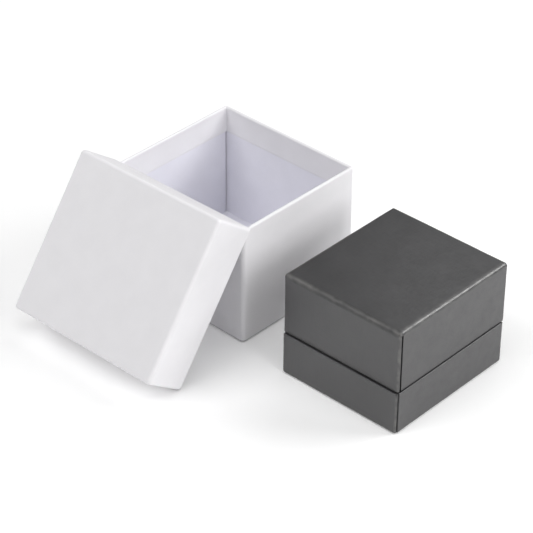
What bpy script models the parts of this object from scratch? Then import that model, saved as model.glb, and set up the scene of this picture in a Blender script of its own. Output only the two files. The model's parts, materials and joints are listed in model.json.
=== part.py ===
"""A jewelry gift box set: a rigid two-piece paper carton, open, with its lid leaning on the
tray, and beside it the spring-hinged ring box that the carton holds.

The origin is the centre of the carton tray's underside. +Z is up, +Y runs towards the ring
box's hinge and +X along its front. Every size below is in millimetres.
"""
from math import cos, hypot, pi, radians, sin

import bmesh
import bpy
from mathutils import Vector

MM = 0.001

# --- driving dimensions -----------------------------------------------------------------
# carton tray
TRAY_X = 60.3
TRAY_Y = 54.8
TRAY_HEIGHT = 45.1

# carton lid, which slips over the tray
LID_PLAY = 0.5
LID_HEIGHT = 18.0
LID_LEAN = 36.1
LID_YAW = 0.7
LID_SHIFT_X = 0.8
LEAN_CLEARANCE = 0.1

# carton construction: board, covering paper and the tape at the corners
CARTON_WALL = 1.4
PAPER = 0.15
STAY = 0.08
STAY_PLAY = 0.02
BOARD_PLAY = 0.03
BOARD = CARTON_WALL - 2 * PAPER - STAY - 2 * STAY_PLAY - BOARD_PLAY
BOARD_INSET = PAPER + STAY + 2 * STAY_PLAY
TURN_IN = 10.0
CARTON_CORNER = 1.35
CARTON_EDGE = 0.4
TRAY_FOLD = 0.7
LID_FOLD = 1.35
CORNER_SLIT = 0.45
STAY_LEG = 9.0

# ring box
BOX_X = 48.8
BOX_Y = 54.4
BASE_TOP = 15.8
PARTING_GAP = 0.35
BOX_HEIGHT = 39.1
BOX_YAW = 0.25
BOX_PLACE = (74.5, -2.7)
LID_SET_LEFT = 0.5
LID_SET_BACK = 0.85
COVER = 0.6
SHELL = 1.3
FIT = 0.05
COVER_TURN_IN = 5.0
COVER_UNDER = 8.0
BOX_CORNER = 0.9
BOX_EDGE = 0.5
BASE_SHEET = 0.3
BASE_SHEET_INSET = 2.0
LID_BEVEL = (0.7, 1.3)

# ring box interior
LINING = 0.6
LINING_CORNER = 0.8
LINING_DROP = 0.3
HINGE_ROOM = 0.5
PAD_CARD = 1.0
PAD_PLAY = 0.15
PAD_RISE = 0.6
RING_SLOT = 0.7
PAD_CORNER = 0.5
PAD_ROUND = 3.0
LID_PAD = 4.6
LID_PAD_ROUND = 2.6

# hinge
HINGE_BACK = 0.15
HINGE_LENGTH = 24.0
PIN_RADIUS = 0.35
KNUCKLE_BORE = 0.40
KNUCKLE_RADIUS = 0.75
KNUCKLE_GAP = 0.2
SPRING_BAY = 6.0
LID_KNUCKLE = 4.8
LEAF_ROOT = 1.05
BASE_LEAF_DROP = 6.9
LID_LEAF_RISE = 7.5
NOTCH_HALF = HINGE_LENGTH / 2 + 0.6
NOTCH_REACH = 1.1
PIN_HEAD = (0.6, 0.3)
SPRING_WIRE = 0.12
SPRING_RADIUS = 0.54
SPRING_TURNS = 5.5
SPRING_LENGTH = 4.2
SPRING_LEG = 1.4
SPRING_LEG_RISE = 0.08
RIVET_SPACING = 16.0
RIVET_DROP = 4.2
RIVET_SHANK = 0.6
RIVET_HEAD = (1.2, 0.5)
RIVET_PLAY = 0.06

# facets
CORNER_STEPS = 4
EDGE_STEPS = 2
FOLD_STEPS = 3
PAD_STEPS = 4
PIN_SIDES = 16
CURL_STEPS = 14
CURL_SWEEP = 280
SPRING_STEPS = 10

# --- sizes worked out from them ----------------------------------------------------------
LID_X = TRAY_X + 2 * CARTON_WALL + LID_PLAY
LID_Y = TRAY_Y + 2 * CARTON_WALL + LID_PLAY
LID_BOTTOM = BASE_TOP + PARTING_GAP
RING_LID_HEIGHT = BOX_HEIGHT - LID_BOTTOM
BASE_UNDER = BASE_SHEET + FIT
SHELL_INSET = COVER + FIT
WALL_INSET = SHELL_INSET + SHELL + FIT
LINING_INSET = WALL_INSET + COVER + FIT
HINGE_Y = BOX_Y / 2 + HINGE_BACK
HINGE_Z = BASE_TOP + PARTING_GAP / 2
LID_BACK = BOX_Y / 2 + LID_SET_BACK
LEAF = KNUCKLE_RADIUS - KNUCKLE_BORE


# --- Blender helpers ---------------------------------------------------------------------
def clear_scene():
    for obj in list(bpy.data.objects):
        bpy.data.objects.remove(obj, do_unlink=True)


def material(name, color, roughness, metallic=0.0):
    mat = bpy.data.materials.new(name)
    mat.use_nodes = True
    shader = mat.node_tree.nodes["Principled BSDF"]
    shader.inputs["Base Color"].default_value = (*color, 1.0)
    shader.inputs["Roughness"].default_value = roughness
    shader.inputs["Metallic"].default_value = metallic
    mat.diffuse_color = (*color, 1.0)
    return mat


def empty(name, location, rotation=(0.0, 0.0, 0.0), parent=None):
    """A joint or assembly frame. Its location is in millimetres under its parent."""
    holder = bpy.data.objects.new(name, None)
    holder.location = Vector(location) * MM
    holder.rotation_euler = rotation
    holder.parent = parent
    bpy.context.collection.objects.link(holder)
    return holder


def solid(name, bodies, parent, mat=None, location=(0.0, 0.0, 0.0)):
    """An object from closed bodies, each given as (points in mm, faces)."""
    bm = bmesh.new()
    for points, faces in bodies:
        verts = [bm.verts.new(Vector(p) * MM) for p in points]
        for face in faces:
            bm.faces.new([verts[i] for i in face])
    bmesh.ops.recalc_face_normals(bm, faces=bm.faces)
    mesh = bpy.data.meshes.new(name)
    bm.to_mesh(mesh)
    bm.free()
    mesh.shade_smooth()
    mesh.set_sharp_from_angle(angle=radians(35))
    if mat is not None:
        mesh.materials.append(mat)
    obj = bpy.data.objects.new(name, mesh)
    obj.location = Vector(location) * MM
    obj.parent = parent
    bpy.context.collection.objects.link(obj)
    return obj


def tool(name, bodies, parent, location=(0.0, 0.0, 0.0)):
    """A body that only shapes another one."""
    guide = solid(name, bodies, parent, location=location)
    guide.hide_render = True
    guide.display_type = "WIRE"
    return guide


def apply_tool(target, guide, operation):
    step = target.modifiers.new(guide.name, "BOOLEAN")
    step.operation = operation
    step.solver = "EXACT"
    step.object = guide


# --- closed bodies -----------------------------------------------------------------------
def rect_loop(half_x, half_y, radius, z, centre=(0.0, 0.0), break_y=None):
    """A rounded rectangle at height z, with a spare point on each side at y = break_y."""
    cx, cy = centre
    loop = []
    for side_x, side_y, start in ((1, 1, 0), (-1, 1, 90), (-1, -1, 180), (1, -1, 270)):
        for k in range(CORNER_STEPS + 1):
            angle = radians(start + 90 * k / CORNER_STEPS)
            x = cx + side_x * (half_x - radius) + radius * cos(angle)
            y = cy + side_y * (half_y - radius) + radius * sin(angle)
            loop.append((x, y, z))
        if break_y is not None and side_x == -side_y == -1:
            loop.append((cx - half_x, break_y, z))
    if break_y is not None:
        loop.append((cx + half_x, break_y, z))
    return loop


def loft(loops, ring=False):
    """A body through equal loops: capped at both ends, or closed on itself as a ring."""
    count = len(loops[0])
    points = [p for loop in loops for p in loop]
    faces = []
    spans = len(loops) if ring else len(loops) - 1
    for i in range(spans):
        low = i * count
        high = ((i + 1) % len(loops)) * count
        for k in range(count):
            nxt = (k + 1) % count
            faces.append((low + k, low + nxt, high + nxt, high + k))
    if not ring:
        faces.append(tuple(reversed(range(count))))
        faces.append(tuple(range((len(loops) - 1) * count, len(points))))
    return points, faces


def prism_x(outline, x0, x1):
    """A (y, z) outline extruded along X."""
    count = len(outline)
    points = [(x, y, z) for x in (x0, x1) for y, z in outline]
    faces = [(k, (k + 1) % count, count + (k + 1) % count, count + k) for k in range(count)]
    faces.append(tuple(reversed(range(count))))
    faces.append(tuple(range(count, 2 * count)))
    return points, faces


def block(low, high):
    (x0, y0, z0), (x1, y1, z1) = low, high
    return prism_x([(y0, z0), (y1, z0), (y1, z1), (y0, z1)], x0, x1)


def turned(outline, axis):
    """(radius, station) pairs turned round the X or the Y axis, closed at both ends."""
    points = []
    for radius, station in outline:
        for k in range(PIN_SIDES):
            angle = 2 * pi * k / PIN_SIDES
            u, v = radius * cos(angle), radius * sin(angle)
            points.append((station, u, v) if axis == "X" else (u, station, v))
    faces = []
    for i in range(len(outline) - 1):
        for k in range(PIN_SIDES):
            nxt = (k + 1) % PIN_SIDES
            low, high = i * PIN_SIDES, (i + 1) * PIN_SIDES
            faces.append((low + k, low + nxt, high + nxt, high + k))
    faces.append(tuple(reversed(range(PIN_SIDES))))
    faces.append(tuple(range(len(points) - PIN_SIDES, len(points))))
    return points, faces


def moved(body, offset):
    points, faces = body
    return [tuple(a + b for a, b in zip(p, offset)) for p in points], faces


def round_edge(inset, z, radius, start, end, steps=EDGE_STEPS):
    """(inset, height) points of a rounded edge. Angle 0 faces outwards and 90 faces up."""
    edge = []
    for k in range(steps + 1):
        angle = radians(start + (end - start) * k / steps)
        edge.append((inset - radius * cos(angle), z + radius * sin(angle)))
    return edge


def inset_loops(half_x, half_y, corner, stations, centre=(0.0, 0.0), break_y=None):
    """Loops set in from one outline, so that every skin of it keeps its own corner radius."""
    loops = []
    for inset, z in stations:
        radius = max(corner - inset, 0.1)
        loops.append(rect_loop(half_x - inset, half_y - inset, radius, z, centre, break_y))
    return loops


# --- carton tray and lid: the same three pieces, open upwards ------------------------------
def carton_wrap(size_x, size_y, height, fold):
    """Covering paper: under the floor, up the walls, over the rim and down inside."""
    rim = CARTON_EDGE
    stations = round_edge(fold, fold, fold, -90, 0, FOLD_STEPS)
    stations += round_edge(rim, height - rim, rim, 0, 90)
    stations += round_edge(CARTON_WALL - rim, height - rim, rim, 90, 180)
    stations += [
        (CARTON_WALL, height - TURN_IN),
        (CARTON_WALL - PAPER, height - TURN_IN),
        (CARTON_WALL - PAPER, height - PAPER - rim / 2),
        (CARTON_WALL - PAPER - rim / 2, height - PAPER),
        (PAPER + rim / 2, height - PAPER),
        (PAPER, height - PAPER - rim / 2),
    ]
    stations += round_edge(fold, fold, fold - PAPER, 0, -90, FOLD_STEPS)
    return loft(inset_loops(size_x / 2, size_y / 2, CARTON_CORNER, stations))


def carton_board(size_x, size_y, height, fold):
    """One folded board: a floor and four walls, rounded off where the paper turns."""
    low = PAPER + BOARD_PLAY
    top = height - PAPER - BOARD_PLAY
    cut = CARTON_EDGE / 2
    wall = BOARD_INSET + BOARD
    stations = [(fold + cut, low)]
    stations += round_edge(fold, fold, fold - BOARD_INSET, -90, 0, FOLD_STEPS)
    stations += [
        (BOARD_INSET, top - cut),
        (BOARD_INSET + cut, top),
        (wall - cut, top),
        (wall, top - cut),
        (wall, low + BOARD),
    ]
    return loft(inset_loops(size_x / 2, size_y / 2, CARTON_CORNER, stations))


def corner_slits(size_x, size_y, height):
    """The open joints where the end walls butt against the long walls."""
    wall = BOARD_INSET + BOARD
    slits = []
    for side_x in (-1, 1):
        for side_y in (-1, 1):
            xs = sorted((side_x * size_x / 2, side_x * (size_x / 2 - wall - BOARD)))
            outer = side_y * (size_y / 2 - wall)
            ys = sorted((outer, outer - side_y * CORNER_SLIT))
            slits.append(block((xs[0], ys[0], PAPER + BOARD_PLAY + BOARD), (xs[1], ys[1], height)))
    return slits


def corner_stays(size_x, size_y, height, fold):
    """Four strips of paper tape folded round the board's corners, under the wrap."""
    inset = PAPER + STAY_PLAY
    outer = rect_loop(size_x / 2 - inset, size_y / 2 - inset, CARTON_CORNER - inset, 0.0)
    inset += STAY
    inner = rect_loop(size_x / 2 - inset, size_y / 2 - inset, CARTON_CORNER - inset, 0.0)
    low, top = fold, height - PAPER - CARTON_EDGE
    steps = CORNER_STEPS + 1
    strips = []
    for corner in range(4):
        span = slice(corner * steps, corner * steps + steps)
        skin, back = outer[span], inner[span]
        turn = corner % 2 == 0
        first = (0, -STAY_LEG) if turn else (-STAY_LEG, 0)
        last = (-STAY_LEG, 0) if turn else (0, -STAY_LEG)
        sign_x = 1 if corner in (0, 3) else -1
        sign_y = 1 if corner in (0, 1) else -1

        def leg(point, step):
            return (point[0] + sign_x * step[0], point[1] + sign_y * step[1], 0.0)

        skin = [leg(skin[0], first)] + skin + [leg(skin[-1], last)]
        back = [leg(back[0], first)] + back + [leg(back[-1], last)]
        outline = skin + back[::-1]
        strips.append(loft([[(x, y, z) for x, y, _ in outline] for z in (low, top)]))
    return strips


def build_carton_half(prefix, size, fold, holder, paper, board, tape):
    """Board, corner tape and wrap of the tray or of the lid, opening along its own +Z.

    fold is the radius of the edges round its floor.
    """
    solid(prefix + "_wrap", [carton_wrap(*size, fold)], holder, paper)
    folded = solid(prefix + "_board", [carton_board(*size, fold)], holder, board)
    slits = tool(prefix + "_slit_tool", corner_slits(*size), holder)
    apply_tool(folded, slits, "DIFFERENCE")
    for number, strip in enumerate(corner_stays(*size, fold), 1):
        solid(f"{prefix}_corner_stay_{number}", [strip], holder, tape)


def carton_lid_frame():
    """Stands the lid on its lower rim and leans its rim plane on the tray's top edge."""
    lean = radians(LID_LEAN)
    up = Vector((0.0, sin(lean), cos(lean)))
    facing = Vector((0.0, cos(lean), -sin(lean)))
    edge = Vector((0.0, CARTON_EDGE - TRAY_Y / 2, TRAY_HEIGHT - CARTON_EDGE))
    rim_plane = edge.dot(facing) - CARTON_EDGE - LEAN_CLEARANCE
    foot = (CARTON_EDGE - LID_Y / 2) * up.z + (rim_plane - CARTON_EDGE) * facing.z
    centre = facing * (rim_plane - LID_HEIGHT) + up * ((CARTON_EDGE - foot) / up.z)
    corner = (TRAY_X / 2, -TRAY_Y / 2, 0.0)
    turn = empty("carton_lid_turn", corner, (0.0, 0.0, radians(LID_YAW)))
    offset = (LID_SHIFT_X - corner[0], centre.y - corner[1], centre.z)
    return empty("carton_lid_frame", offset, (-pi / 2 - lean, 0.0, 0.0), turn)


# --- ring box: covers, shells and linings ------------------------------------------------
def base_cover():
    """Leatherette round the base: turned under the floor and over the rim."""
    rim = BOX_EDGE
    low = BASE_UNDER
    stations = [(COVER_UNDER, low)]
    stations += round_edge(rim, low + rim, rim, -90, 0)
    stations += round_edge(rim, BASE_TOP - rim, rim, 0, 90)
    stations += round_edge(WALL_INSET + COVER - rim, BASE_TOP - rim, rim, 90, 180)
    stations += [
        (WALL_INSET + COVER, BASE_TOP - COVER_TURN_IN),
        (WALL_INSET, BASE_TOP - COVER_TURN_IN),
        (WALL_INSET, BASE_TOP - COVER),
        (COVER, BASE_TOP - COVER),
        (COVER, low + COVER),
        (COVER_UNDER, low + COVER),
    ]
    return loft(inset_loops(BOX_X / 2, BOX_Y / 2, BOX_CORNER, stations), ring=True)


def lid_loops(stations):
    """Loops of the ring box lid. Stations count down from its top face.

    Its lower back edge is cut away at a slant, for the hinge to turn.
    """
    centre = (-LID_SET_LEFT, LID_SET_BACK)
    heights = [(inset, BOX_HEIGHT - drop) for inset, drop in stations]
    loops = inset_loops(BOX_X / 2, BOX_Y / 2, BOX_CORNER, heights, centre, LID_BACK - 3.0)
    depth, rise = LID_BEVEL
    slope = rise / depth
    cut = []
    for (inset, _), loop in zip(stations, loops):
        skin = inset if inset < SHELL_INSET + FIT else 0.0
        lift = skin * hypot(1.0, slope)
        cut.append([
            (x, y, max(z, LID_BOTTOM + (y - LID_BACK + depth) * slope + lift))
            for x, y, z in loop
        ])
    return cut


def lid_cover():
    """Leatherette over the lid: top, sides, over the rim and up inside."""
    rim = BOX_EDGE
    drop = RING_LID_HEIGHT
    stations = round_edge(rim, rim, rim, -90, 0)
    stations += round_edge(rim, drop - rim, rim, 0, 90)
    stations += round_edge(WALL_INSET + COVER - rim, drop - rim, rim, 90, 180)
    stations += [
        (WALL_INSET + COVER, drop - COVER_TURN_IN),
        (WALL_INSET, drop - COVER_TURN_IN),
        (WALL_INSET, drop - COVER),
        (COVER, drop - COVER),
        (COVER, COVER),
    ]
    return loft(lid_loops(stations))


def cup_stations(low, top):
    """A shell's own walls, from its floor round its rim to the inside of its floor."""
    inner = SHELL_INSET + SHELL
    return [(SHELL_INSET, low), (SHELL_INSET, top), (inner, top), (inner, low + SHELL)]


def lining_ring(y_front, y_back, low, top, centre_x):
    """A lined card strip standing against all four walls."""
    half_x = BOX_X / 2 - LINING_INSET
    half_y = (y_back - y_front) / 2
    centre = (centre_x, (y_back + y_front) / 2)
    stations = [(0.0, low), (0.0, top), (LINING, top), (LINING, low)]
    return loft(inset_loops(half_x, half_y, LINING_CORNER, stations, centre), ring=True)


def cushion(y_front, y_back, low, top, rounding, centre_x, faces_down=False):
    """A padded block that fits inside a lining, rounded round its free face."""
    half_x = BOX_X / 2 - LINING_INSET - LINING - PAD_PLAY
    half_y = (y_back - y_front) / 2
    centre = (centre_x, (y_back + y_front) / 2)
    height = top - low
    stations = [(0.0, 0.0)]
    stations += round_edge(rounding, height - rounding, rounding, 0, 90, PAD_STEPS)
    if faces_down:
        stations = [(inset, top - z) for inset, z in stations]
    else:
        stations = [(inset, low + z) for inset, z in stations]
    return loft(inset_loops(half_x, half_y, PAD_CORNER + rounding, stations, centre))


# --- ring box: hinge ---------------------------------------------------------------------
def hinge_notch(back, rim, reach, turn_in_end):
    """The gap in a back wall for the knuckles, and in the turned-in cover for the leaf."""
    inside = back - WALL_INSET - COVER - PAD_PLAY
    behind_leaf = back - WALL_INSET + FIT / 2
    outside = back + 1.0
    outline = [
        (inside, rim),
        (outside, rim),
        (outside, reach),
        (behind_leaf, reach),
        (behind_leaf, turn_in_end),
        (inside, turn_in_end),
    ]
    return prism_x(outline, -NOTCH_HALF, NOTCH_HALF)


def curl(sign):
    """Section of one knuckle about the pin, with its tail in the leaf. sign is -1 or 1."""
    angles = [radians(90 - CURL_SWEEP * k / CURL_STEPS) for k in range(CURL_STEPS + 1)]
    inner = [(KNUCKLE_BORE * cos(a), sign * KNUCKLE_BORE * sin(a)) for a in angles]
    outer = [(KNUCKLE_RADIUS * cos(a), sign * KNUCKLE_RADIUS * sin(a)) for a in angles]
    tail = -LEAF_ROOT - LEAF
    return (
        [(tail, sign * KNUCKLE_BORE)] + inner + outer[::-1] + [(tail, sign * KNUCKLE_RADIUS)]
    )


def leaf_section(wall_y, reach, sign):
    """Section of a leaf: from beside the knuckles to the wall, then along the wall."""
    near = wall_y - FIT
    far = near - LEAF
    return [
        (far, sign * KNUCKLE_BORE),
        (-LEAF_ROOT, sign * KNUCKLE_BORE),
        (-LEAF_ROOT, sign * KNUCKLE_RADIUS),
        (near, sign * KNUCKLE_RADIUS),
        (near, sign * reach),
        (far, sign * reach),
    ]


def rivet_bodies(leaf_y, wall_end, z):
    """Two rivets: heads on the leaf, shanks through it into the shell wall."""
    head_radius, head_depth = RIVET_HEAD
    under_head = leaf_y - FIT / 2
    outline = [
        (head_radius, under_head - head_depth),
        (head_radius, under_head),
        (RIVET_SHANK, under_head),
        (RIVET_SHANK, wall_end),
    ]
    rivet = turned(outline, "Y")
    return [moved(rivet, (side * RIVET_SPACING / 2, 0.0, z)) for side in (-1, 1)]


def rivet_holes(low_y, high_y, z):
    radius = RIVET_SHANK + RIVET_PLAY
    hole = turned([(radius, low_y), (radius, high_y)], "Y")
    return [moved(hole, (side * RIVET_SPACING / 2, 0.0, z)) for side in (-1, 1)]


def build_leaf(name, wall_y, reach, sign, knuckles, rivet_z, shell, parent, steel):
    """One leaf with its curled knuckles, riveted to the inside of a shell's back wall."""
    half = HINGE_LENGTH / 2
    section = leaf_section(wall_y, reach, sign)
    leaf = solid(name + "_leaf", [prism_x(section, -half, half)], parent, steel)
    curls = [prism_x(curl(sign), x0, x1) for x0, x1 in knuckles]
    apply_tool(leaf, tool(name + "_knuckle_tool", curls, parent), "UNION")
    leaf_y = wall_y - FIT - LEAF
    wall_end = wall_y + SHELL
    holes = rivet_holes(leaf_y - SHELL, wall_end + FIT, rivet_z)
    drill = tool(name + "_rivet_tool", holes, parent)
    apply_tool(leaf, drill, "DIFFERENCE")
    apply_tool(shell, drill, "DIFFERENCE")
    for number, rivet in enumerate(rivet_bodies(leaf_y, wall_end - FIT, rivet_z), 1):
        solid(f"{name}_rivet_{number}", [rivet], parent, steel)


def spring_path():
    """A leg under the lid leaf, a close coil round the pin and a leg over the base leaf."""
    steps = int(SPRING_TURNS * SPRING_STEPS)
    path = [(-SPRING_LENGTH / 2, -SPRING_LEG, SPRING_LEG_RISE)]
    for k in range(steps + 1):
        share = k / steps
        angle = pi / 2 - 2 * pi * SPRING_TURNS * share
        x = SPRING_LENGTH * (share - 0.5)
        path.append((x, SPRING_RADIUS * cos(angle), SPRING_RADIUS * sin(angle)))
    path.append((SPRING_LENGTH / 2, -SPRING_LEG, -SPRING_LEG_RISE))
    return path


def build_spring(parent, steel):
    path = spring_path()
    curve = bpy.data.curves.new("hinge_spring", "CURVE")
    curve.dimensions = "3D"
    curve.bevel_depth = SPRING_WIRE * MM
    curve.bevel_resolution = 1
    curve.use_fill_caps = True
    spline = curve.splines.new("POLY")
    spline.points.add(len(path) - 1)
    for point, (x, y, z) in zip(spline.points, path):
        point.co = (x * MM, y * MM, z * MM, 1.0)
    curve.materials.append(steel)
    spring = bpy.data.objects.new("hinge_spring", curve)
    spring.parent = parent
    bpy.context.collection.objects.link(spring)


def build_pin(parent, steel):
    """A straight pin, peened over at both ends."""
    head_radius, head = PIN_HEAD
    reach = HINGE_LENGTH / 2 + FIT
    outline = [
        (head_radius, -reach - head),
        (head_radius, -reach),
        (PIN_RADIUS, -reach),
        (PIN_RADIUS, reach),
        (head_radius, reach),
        (head_radius, reach + head),
    ]
    solid("hinge_pin", [turned(outline, "X")], parent, steel)


def knuckle_spans():
    """X spans of the lid's two knuckles and of the base's two, outside the spring's bay."""
    inner = SPRING_BAY / 2 + KNUCKLE_GAP
    lid = [(-inner - LID_KNUCKLE, -inner), (inner, inner + LID_KNUCKLE)]
    start = inner + LID_KNUCKLE + KNUCKLE_GAP
    base = [(-HINGE_LENGTH / 2, -start), (start, HINGE_LENGTH / 2)]
    return lid, base


# --- assemblies --------------------------------------------------------------------------
def build_carton():
    paper = material("white_wrap_paper", (0.78, 0.77, 0.79), 0.6)
    board = material("white_lined_board", (0.80, 0.79, 0.85), 0.75)
    tape = material("paper_tape", (0.54, 0.50, 0.44), 0.8)
    tray = empty("carton_tray_frame", (0.0, 0.0, 0.0))
    size = (TRAY_X, TRAY_Y, TRAY_HEIGHT)
    build_carton_half("carton_tray", size, TRAY_FOLD, tray, paper, board, tape)
    lid = carton_lid_frame()
    size = (LID_X, LID_Y, LID_HEIGHT)
    build_carton_half("carton_lid", size, LID_FOLD, lid, paper, board, tape)


def build_ring_box():
    cover = material("gunmetal_leatherette", (0.067, 0.066, 0.068), 0.45)
    shell = material("shell_plastic", (0.05, 0.05, 0.055), 0.5)
    felt = material("base_paper", (0.03, 0.03, 0.03), 0.9)
    velvet = material("black_velvet", (0.02, 0.02, 0.022), 0.95)
    card = material("grey_card", (0.35, 0.34, 0.33), 0.85)
    satin = material("white_satin", (0.80, 0.79, 0.77), 0.35)
    steel = material("spring_steel", (0.55, 0.55, 0.56), 0.3, 1.0)

    base = empty("ring_box_frame", (*BOX_PLACE, 0.0), (0.0, 0.0, radians(BOX_YAW)))
    pivot = empty("ring_box_hinge_axis", (0.0, HINGE_Y, HINGE_Z), parent=base)
    from_pivot = (0.0, -HINGE_Y, -HINGE_Z)

    # base
    floor = BASE_UNDER + COVER + FIT
    inside_floor = floor + SHELL + FIT
    under = inset_loops(BOX_X / 2, BOX_Y / 2, BOX_CORNER + BASE_SHEET_INSET,
                        [(BASE_SHEET_INSET, 0.0), (BASE_SHEET_INSET, BASE_SHEET)])
    solid("ring_box_base_sheet", [loft(under)], base, felt)
    base_skin = solid("ring_box_base_cover", [base_cover()], base, cover)
    cup = inset_loops(BOX_X / 2, BOX_Y / 2, BOX_CORNER,
                      cup_stations(floor, BASE_TOP - COVER - FIT))
    base_shell = solid("ring_box_base_shell", [loft(cup)], base, shell)
    notch = hinge_notch(BOX_Y / 2, BASE_TOP + 1.0, HINGE_Z - NOTCH_REACH,
                        BASE_TOP - COVER_TURN_IN - 1.0)
    base_notch = tool("base_notch_tool", [notch], base)
    apply_tool(base_skin, base_notch, "DIFFERENCE")
    apply_tool(base_shell, base_notch, "DIFFERENCE")

    front = LINING_INSET - BOX_Y / 2
    back = BOX_Y / 2 - LINING_INSET - HINGE_ROOM
    lining = lining_ring(front, back, inside_floor, BASE_TOP - LINING_DROP, 0.0)
    solid("ring_box_base_lining", [lining], base, velvet)
    pad_in = LINING + PAD_PLAY
    front, back = front + pad_in, back - pad_in
    pad_low = inside_floor + PAD_CARD
    pad_top = BASE_TOP + PAD_RISE
    middle = (front + back) / 2
    half_x = BOX_X / 2 - LINING_INSET - pad_in
    plate = block((-half_x, front, inside_floor), (half_x, back, pad_low))
    solid("ring_pad_card", [plate], base, card)
    for name, y0, y1 in (("front", front, middle - RING_SLOT / 2),
                         ("rear", middle + RING_SLOT / 2, back)):
        roll = cushion(y0, y1, pad_low + FIT, pad_top, PAD_ROUND, 0.0)
        solid("ring_pad_" + name, [roll], base, velvet)

    # lid
    lid_skin = solid("ring_box_lid_cover", [lid_cover()], pivot, cover, from_pivot)
    cup = lid_loops(cup_stations(COVER + FIT, RING_LID_HEIGHT - COVER - FIT))
    lid_shell = solid("ring_box_lid_shell", [loft(cup)], pivot, shell, from_pivot)
    notch = hinge_notch(LID_BACK, LID_BOTTOM - 1.0, HINGE_Z + NOTCH_REACH,
                        LID_BOTTOM + COVER_TURN_IN + 1.0)
    lid_notch = tool("lid_notch_tool", [notch], pivot, from_pivot)
    apply_tool(lid_skin, lid_notch, "DIFFERENCE")
    apply_tool(lid_shell, lid_notch, "DIFFERENCE")

    ceiling = BOX_HEIGHT - COVER - FIT - SHELL - FIT
    front = LID_SET_BACK - BOX_Y / 2 + LINING_INSET
    back = LID_BACK - LINING_INSET - HINGE_ROOM
    lining = lining_ring(front, back, LID_BOTTOM + LINING_DROP, ceiling, -LID_SET_LEFT)
    solid("ring_box_lid_lining", [lining], pivot, satin, from_pivot)
    front, back = front + pad_in, back - pad_in
    plate = block((-half_x - LID_SET_LEFT, front, ceiling - PAD_CARD),
                  (half_x - LID_SET_LEFT, back, ceiling))
    solid("ring_box_lid_pad_card", [plate], pivot, card, from_pivot)
    pad_top = ceiling - PAD_CARD - FIT
    pad = cushion(front, back, pad_top - LID_PAD, pad_top, LID_PAD_ROUND, -LID_SET_LEFT, True)
    solid("ring_box_lid_pad", [pad], pivot, satin, from_pivot)

    # hinge, measured from its own axis
    axis = empty("hinge_frame", (0.0, HINGE_Y, HINGE_Z), parent=base)
    lid_spans, base_spans = knuckle_spans()
    wall = BOX_Y / 2 - SHELL_INSET - SHELL - HINGE_Y
    build_leaf("hinge_base", wall, BASE_LEAF_DROP, -1, base_spans, -RIVET_DROP,
               base_shell, axis, steel)
    wall = LID_BACK - SHELL_INSET - SHELL - HINGE_Y
    build_leaf("hinge_lid", wall, LID_LEAF_RISE, 1, lid_spans, RIVET_DROP,
               lid_shell, pivot, steel)
    build_pin(axis, steel)
    build_spring(axis, steel)


clear_scene()
build_carton()
build_ring_box()
bpy.context.view_layer.update()
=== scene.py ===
"""The looks of a jewelry gift box set: an open paper carton, its lid and a leatherette ring box.

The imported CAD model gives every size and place. The paper wraps, the leatherette covers, the
linings and the pads get detailed pieces of their own; the other parts keep their CAD shape.
Sizes are in millimetres unless a name says otherwise.
"""
import json
from math import cos, hypot, pi, radians, sin

import bmesh
import bpy
from mathutils import Matrix, Vector, noise


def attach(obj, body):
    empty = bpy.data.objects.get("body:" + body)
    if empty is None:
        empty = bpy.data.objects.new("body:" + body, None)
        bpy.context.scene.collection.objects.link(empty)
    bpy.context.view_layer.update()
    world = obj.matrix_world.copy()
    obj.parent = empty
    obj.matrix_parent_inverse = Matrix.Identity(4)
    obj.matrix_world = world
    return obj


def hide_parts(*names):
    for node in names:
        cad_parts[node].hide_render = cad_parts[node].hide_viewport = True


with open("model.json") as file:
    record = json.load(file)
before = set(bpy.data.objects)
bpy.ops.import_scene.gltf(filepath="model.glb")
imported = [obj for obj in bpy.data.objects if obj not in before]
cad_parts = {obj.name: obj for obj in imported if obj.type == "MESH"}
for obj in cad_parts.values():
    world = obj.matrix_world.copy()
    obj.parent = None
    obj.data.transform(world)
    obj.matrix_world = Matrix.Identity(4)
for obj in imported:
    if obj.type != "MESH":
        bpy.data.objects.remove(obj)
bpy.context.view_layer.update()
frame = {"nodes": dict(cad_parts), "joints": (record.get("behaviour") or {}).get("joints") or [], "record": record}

MM = 0.001
MOUNTS = {mount["name"]: mount for mount in frame["record"]["mounts"]}
HINGE = next(joint for joint in frame["joints"] if joint["name"] == "ring_box_lid_hinge")

# every skin
NOISE_SEED = 5
SHARP_ANGLE = 50.0
LEAST_CORNER = 0.12
FOLD_MARGIN = 0.4
RING_CROWDING = 0.6

# carton paper: sizes, and (depth, scale) of its unevenness
CARTON_WALL = 1.4
PAPER = 0.15
PAPER_CORNER = 1.35
TRAY_FOLD = 1.0
LID_FOLD = 1.35
PAPER_RIM = 0.62
TURN_IN = 10.0
TURN_IN_FEATHER = 0.5
TURN_IN_STEP = 0.02
PAPER_RUN_IN = 2.0
# painted contact shadow on the paper: how high up and how far in from the edge it reaches
CONTACT_SHADE_HEIGHT = 1.1
CONTACT_SHADE_WIDTH = 1.5
PAPER_WAVER = (0.06, 14.0)

# leatherette covers
COVER = 0.6
OUTSIDE_DEPTH = 0.8 * COVER
WALL = 2.0
COVER_CORNER = 1.05
COVER_EDGE = 1.5
LID_RIM = 0.22
BASE_RIM = 0.34
BASE_FOLD = 0.6
BASE_LIFT = 0.18
COVER_TURN_IN = 5.0
COVER_UNDER = 8.0
COVER_RUN_IN = 2.5
COVER_WAVER = (0.05, 7.0)
COVER_DIMPLES = (0.015, 1.7)
LID_BEVEL = (0.7, 1.3)
LID_SEAM = 1.0
BASE_SEAM = 0.62
SEAM_HALF = 0.34
SEAM_SLOPE = 0.05
SEAM_DEPTH = 0.55
SEAM_LIP = 0.2
LIP_RISE = 0.06
SEAM_REACH = 1.7
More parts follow.
